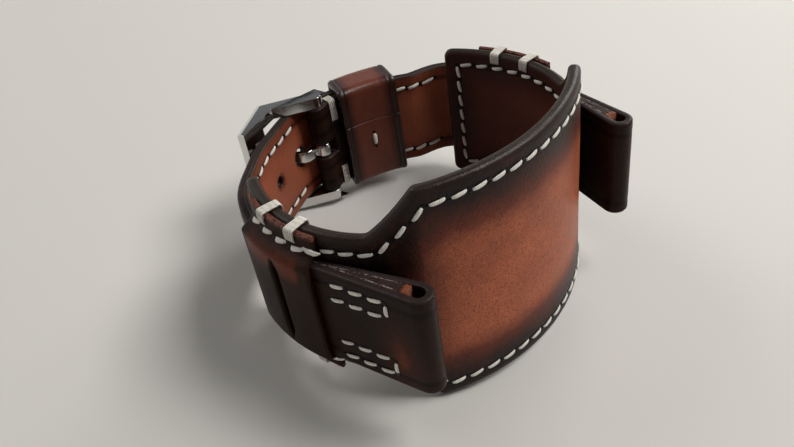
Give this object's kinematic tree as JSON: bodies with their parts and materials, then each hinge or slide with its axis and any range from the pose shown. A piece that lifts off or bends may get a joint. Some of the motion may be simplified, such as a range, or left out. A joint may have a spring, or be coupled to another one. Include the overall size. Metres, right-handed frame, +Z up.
{
  "type": "leather watch strap",
  "caption": "Wide leather watch strap with a pad under the watch, stitched wing bands, folded lug tabs, a loose keeper and an angular steel buckle, closed as a ring.",
  "frame": {"origin": "centre of the bounding box in plan, at the height of the surface that the closed strap rests on", "axes": "+Z up, -Y towards the pad and the lug tabs, +Y towards the buckle, +X along the lug bars' spacing to the buckle strap's side; the ring's own axis leans by 10.7 degrees from +Z towards +Y"},
  "size_m": [0.076, 0.074, 0.0504],
  "materials": {
    "pad_leather": "burnished reddish brown, waxed, darker at the edges",
    "lining_leather": "smooth red-brown lining",
    "band_leather": "waxed black-brown",
    "strap_leather": "waxed dark brown",
    "raw_leather": "undyed filler",
    "thread": "waxed off-white thread",
    "polished_steel": "polished",
    "spring_steel": "drawn wire"
  },
  "bodies": {
    "straps": {"tail_outer": "strap_leather", "tail_lining": "lining_leather", "tail_core": "raw_leather", "tail_stitching": "thread", "tail_tab_stitching": "thread", "buckle_strap_outer": "strap_leather", "buckle_strap_lining": "lining_leather", "buckle_strap_core": "raw_leather", "buckle_strap_stitching": "thread", "buckle_strap_tab_stitching": "thread", "fold_wraps": "thread", "spring_bar_barrel": "polished_steel", "spring_bar_spring": "spring_steel"},
    "pad": {"pad_outer": "pad_leather", "pad_lining": "lining_leather", "pad_stitching": "thread", "left_band": "band_leather", "right_band": "band_leather", "left_band_wraps": "thread", "right_band_wraps": "thread"},
    "keeper": {"keeper_loop": "strap_leather", "keeper_stitch": "thread"},
    "frame": {"buckle_frame": "polished_steel"},
    "tongue": {"buckle_tongue": "polished_steel"},
    "pin_upper": {"spring_bar_pin_upper": "polished_steel"},
    "pin_lower": {"spring_bar_pin_lower": "polished_steel"}
  },
  "joints": [
    {"name": "pad_turn", "type": "hinge", "parent": "straps", "child": "pad", "pos_m": [0, -0.00514, 0.02096], "axis": [0, 0.1858, 0.9826], "range_deg": [-4, 4]},
    {"name": "keeper_travel", "type": "hinge", "parent": "straps", "child": "keeper", "pos_m": [0, -0.00514, 0.02096], "axis": [0, 0.1858, 0.9826], "range_deg": [-7, 0.2]},
    {"name": "frame_lift", "type": "hinge", "parent": "straps", "child": "frame", "pos_m": [0.00085, 0.02664, 0.01495], "axis": [0, -0.1858, -0.9826], "range_deg": [0, 4]},
    {"name": "tongue_lift", "type": "hinge", "parent": "frame", "child": "tongue", "pos_m": [0.00085, 0.02664, 0.01495], "axis": [0, -0.1858, -0.9826], "range_deg": [0, 5]},
    {"name": "upper_pin_press", "type": "slide", "parent": "straps", "child": "pin_upper", "axis": [0, -0.1858, -0.9826], "range_m": [0, 0.0016], "stiffness_N_per_m": 900, "springref_m": -0.001, "deforming": ["spring_bar_spring"]},
    {"name": "lower_pin_press", "type": "slide", "parent": "straps", "child": "pin_lower", "axis": [0, 0.1858, 0.9826], "range_m": [0, 0.0016], "stiffness_N_per_m": 900, "springref_m": -0.001, "deforming": ["spring_bar_spring"]}
  ]
}
